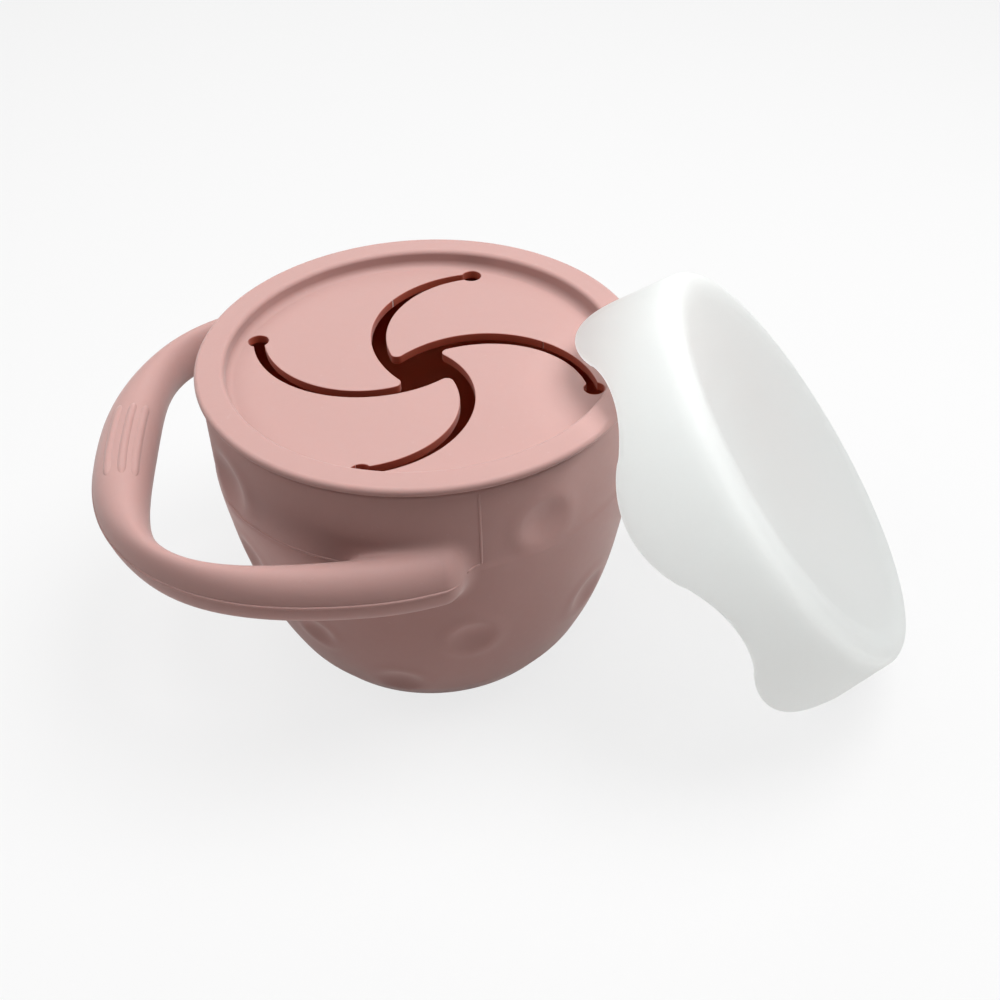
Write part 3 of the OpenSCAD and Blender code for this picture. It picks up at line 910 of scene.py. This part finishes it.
def mixColour(tree, share, a, b, blend="MIX"):
    node = tree.nodes.new("ShaderNodeMix")
    node.data_type = "RGBA"
    node.blend_type = blend
    for place, value in ((0, share), (6, a), (7, b)):
        if isinstance(value, (int, float, tuple)):
            node.inputs[place].default_value = value
        else:
            tree.links.new(value, node.inputs[place])
    return node.outputs[2]


def mapRange(tree, value, low, high, toLow, toHigh):
    node = tree.nodes.new("ShaderNodeMapRange")
    node.interpolation_type = "SMOOTHSTEP"
    tree.links.new(value, node.inputs[0])
    for place, amount in enumerate((low, high, toLow, toHigh), 1):
        node.inputs[place].default_value = amount
    return node.outputs[0]


def weighNodes(tree, a, shareA, b, shareB):
    parts = [mathNode(tree, "MULTIPLY", value, share) for value, share in ((a, shareA), (b, shareB))]
    return mathNode(tree, "ADD", *parts)


def matteSkin():
    # mottled colour, roughness and fine grain of moulded silicone, with a little dust
    tree, given, result = shaderGroup("matteSkin", [
        ("Place", "Vector", None), ("Tint", "Color", (0.8, 0.8, 0.8, 1)), ("Mottle", "Float", 0.05),
        ("Roughness", "Float", 0.5)], [("Colour", "Color"), ("Roughness", "Float"), ("Height", "Float")])
    place = given.outputs["Place"]
    cloud = noiseNode(tree, place, 45, 3)
    fine = noiseNode(tree, place, 520, 2, 0.6)
    grain = noiseNode(tree, place, 2600, 2, 0.6)
    mottled = weighNodes(tree, cloud, 0.7, fine, 0.3)
    share = mathNode(tree, "MULTIPLY", mapRange(tree, mottled, 0.3, 0.7, 0, 1), given.outputs["Mottle"])
    shaded = mixColour(tree, share, given.outputs["Tint"], skinLook["mottled"])
    dust = mapRange(tree, noiseNode(tree, place, 1150, 0), 0.8, 0.84, 0, skinLook["dustShare"])
    dusted = mixColour(tree, dust, shaded, skinLook["dust"])
    tree.links.new(dusted, result.inputs["Colour"])
    rough = mathNode(tree, "ADD", given.outputs["Roughness"], mathNode(tree, "MULTIPLY", fine, 0.12))
    tree.links.new(rough, result.inputs["Roughness"])
    tree.links.new(weighNodes(tree, grain, 0.25, fine, 0.75), result.inputs["Height"])
    return tree


def groupNode(tree, group, **values):
    node = tree.nodes.new("ShaderNodeGroup")
    node.node_tree = group
    for key, value in values.items():
        if isinstance(value, (int, float, tuple)):
            node.inputs[key].default_value = value
        else:
            tree.links.new(value, node.inputs[key])
    return node


def startMaterial(name):
    material = bpy.data.materials.new(name)
    material.use_nodes = True
    tree = material.node_tree
    shader = tree.nodes["Principled BSDF"]
    place = tree.nodes.new("ShaderNodeTexCoord").outputs["Object"]
    return material, tree, shader, place


scatter = (
    ("Subsurface Weight", "subsurface"), ("Subsurface Radius", "bleed"), ("Subsurface Scale", "spread"),
)


def setInputs(shader, look, pairs):
    for key, name in pairs:
        shader.inputs[key].default_value = look[name]


def addBump(tree, shader, height, look):
    bump = tree.nodes.new("ShaderNodeBump")
    bump.inputs["Strength"].default_value = look["grain"]
    bump.inputs["Distance"].default_value = look["grainDepth"]
    tree.links.new(height, bump.inputs["Height"])
    tree.links.new(bump.outputs["Normal"], shader.inputs["Normal"])


def siliconeMaterial(name, skin):
    look = skinLook
    material, tree, shader, place = startMaterial(name)
    given = {"Tint": look["tint"], "Mottle": look["mottle"], "Roughness": look["roughness"]}
    node = groupNode(tree, skin, Place=place, **given)
    colour = node.outputs["Colour"]
    # painted shade: the inside and wall masks lay darker red colours over the cup's hollow and the lid's
    # slit sides and undersides
    for mask, tint in (("inside", look["inside"]), ("wall", look["paintedWallShade"])):
        share = tree.nodes.new("ShaderNodeAttribute")
        share.attribute_name = mask
        colour = mixColour(tree, share.outputs["Fac"], colour, tint)
    tree.links.new(colour, shader.inputs["Base Color"])
    tree.links.new(node.outputs["Roughness"], shader.inputs["Roughness"])
    addBump(tree, shader, node.outputs["Height"], look)
    setInputs(shader, look, scatter)
    setInputs(shader, look, (("Specular IOR Level", "specular"), ("Sheen Weight", "sheen"),
                             ("Sheen Roughness", "sheenRough")))
    return material


def coverMaterial():
    look = coverLook
    material, tree, shader, place = startMaterial("milkySilicone")
    cloud = noiseNode(tree, place, 28, 3)
    fine = noiseNode(tree, place, 900, 2, 0.6)
    share = mapRange(tree, cloud, 0.35, 0.7, 0, look["cloud"])
    colour = mixColour(tree, share, look["tint"], look["cloudy"])
    tree.links.new(colour, shader.inputs["Base Color"])
    rough = mathNode(tree, "ADD", look["roughness"], mathNode(tree, "MULTIPLY", fine, 0.1))
    tree.links.new(rough, shader.inputs["Roughness"])
    addBump(tree, shader, noiseNode(tree, place, 160, 4, 0.6), look)
    setInputs(shader, look, scatter + (("Emission Color", "paintedGlowTint"),))
    # painted glow: a faint light seen only directly, standing in for the light that wanders inside the
    # milky wall
    ray = tree.nodes.new("ShaderNodeLightPath").outputs["Is Camera Ray"]
    glow = mathNode(tree, "MULTIPLY", ray, look["glow"] / (1 - look["through"]))
    tree.links.new(glow, shader.inputs["Emission Strength"])
    thin = tree.nodes.new("ShaderNodeBsdfTranslucent")
    tree.links.new(colour, thin.inputs["Color"])
    blend = tree.nodes.new("ShaderNodeMixShader")
    blend.inputs[0].default_value = look["through"]
    tree.links.new(shader.outputs[0], blend.inputs[1])
    tree.links.new(thin.outputs[0], blend.inputs[2])
    tree.links.new(blend.outputs[0], tree.nodes["Material Output"].inputs["Surface"])
    return material


def seenRay(tree):
    # 1 for what the lens sees directly, in a gloss or through a clear piece
    path = tree.nodes.new("ShaderNodeLightPath")
    clear = mathNode(tree, "MAXIMUM", path.outputs["Is Glossy Ray"], path.outputs["Is Transmission Ray"])
    return mathNode(tree, "MAXIMUM", path.outputs["Is Camera Ray"], clear)


def floorMaterial():
    look = floorLook
    material, tree, shader, place = startMaterial("paleFloor")
    ray = seenRay(tree)
    speck = mapRange(tree, noiseNode(tree, place, 30, 3), 0.3, 0.7, 0, look["speck"])
    pale = mixColour(tree, speck, look["tint"], look["specks"])
    colour = mixColour(tree, ray, look["bounce"], pale)
    tree.links.new(colour, shader.inputs["Base Color"])
    setInputs(shader, look, (("Roughness", "roughness"), ("Specular IOR Level", "specular")))
    shader.inputs["Emission Color"].default_value = (1, 1, 1, 1)
    tree.links.new(mathNode(tree, "MULTIPLY", ray, look["glow"]), shader.inputs["Emission Strength"])
    return material


skin = matteSkin()
rose = siliconeMaterial("roseSilicone", skin)
milky = coverMaterial()
sweep = sweepTree()
ribs = sweptPiece("gripRibs", ribPaths(), ribForm, sweep, rose)
lines = sweptPiece("mouldLines", linePaths(), lineForm, sweep, rose)
seam = sweptPiece("handleSeam", seamPaths(), seamForm, sweep, rose)
for obj in [moulding, lidPlate] + petals:
    obj.data.materials.append(rose)
dustCover.data.materials.append(milky)
print("materials and swept pieces")

for obj in (moulding, ribs, lines, seam):
    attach(obj, "cup")
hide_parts("cup_body", "handle")
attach(lidPlate, "lid")
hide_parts("lid_ring")
for k, petal in enumerate(petals):
    middle = sum(rootEnds(k, 0)) / 2
    inner = middle - lidForm["bend"] * lidFrame(k)[0]
    z = lidForm["discZ"] - lidForm["discT"] / 2
    start, end = (tuple(np.array([*place, z]) * mm) for place in (middle, inner))
    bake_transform(petal)
    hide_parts(f"lid_flap_{k + 1}")
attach(dustCover, "cover")
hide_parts("dust_cover")


# Camera, light and floor: places in metres

viewpoint = {
    "place": (-0.002295, -0.23461, 0.2287),
    "right": (0.99514, -0.09620, -0.02122),
    "up": (0.07805, 0.63856, 0.76561),
    "lens": 46.8,
}

studio = {
    "aim": (0, 0, 0.04), "world": 0.015,
    # name, place, width of the disc and watts
    "lamps": (
        ("overhead", (0, 0, 0.65), 0.5, 1.2), ("main", (0.25, 0, 0.6), 0.45, 4.4),
        ("leftHigh", (-0.45, 0, 0.5), 0.4, 1.4), ("backHigh", (0, 0.5, 0.45), 0.4, 0.6),
    ),
}


def makeCamera():
    v = viewpoint
    right = Vector(v["right"]).normalized()
    back = right.cross(Vector(v["up"])).normalized()
    up = back.cross(right)
    data = bpy.data.cameras.new("camera")
    data.lens = v["lens"]
    data.sensor_width = 36
    data.clip_start = 0.01
    camera = bpy.data.objects.new("camera", data)
    scene.collection.objects.link(camera)
    camera.matrix_world = Matrix.Translation(v["place"]) @ Matrix((right, up, back)).transposed().to_4x4()
    scene.camera = camera


def makeLamp(name, place, size, power):
    data = bpy.data.lights.new(name, "AREA")
    data.shape = "DISK"
    data.size = size
    data.energy = power
    lamp = bpy.data.objects.new(name, data)
    scene.collection.objects.link(lamp)
    lamp.location = place
    lamp.rotation_mode = "QUATERNION"
    lamp.rotation_quaternion = (Vector(studio["aim"]) - Vector(place)).to_track_quat("-Z", "Y")


def makeWorld():
    strength = studio["world"]
    world = bpy.data.worlds.new("world")
    world.use_nodes = True
    scene.world = world
    tree = world.node_tree
    background = tree.nodes["Background"]
    colour = mixColour(tree, seenRay(tree), (strength, strength, strength, 1), (1, 1, 1, 1))
    tree.links.new(colour, background.inputs["Color"])


def makeFloor():
    half = floorLook["half"]
    verts = [(x * half, y * half, 0) for x, y in ((-1, -1), (1, -1), (1, 1), (-1, 1))]
    floor = makeObject("floor", verts, [(0, 1, 2, 3)], False)
    floor.data.materials.append(floorMaterial())


makeCamera()
makeWorld()
for name, place, size, power in studio["lamps"]:
    makeLamp(name, place, size, power)
makeFloor()
print("camera, lamps and floor")
scene.view_settings.view_transform = "Standard"
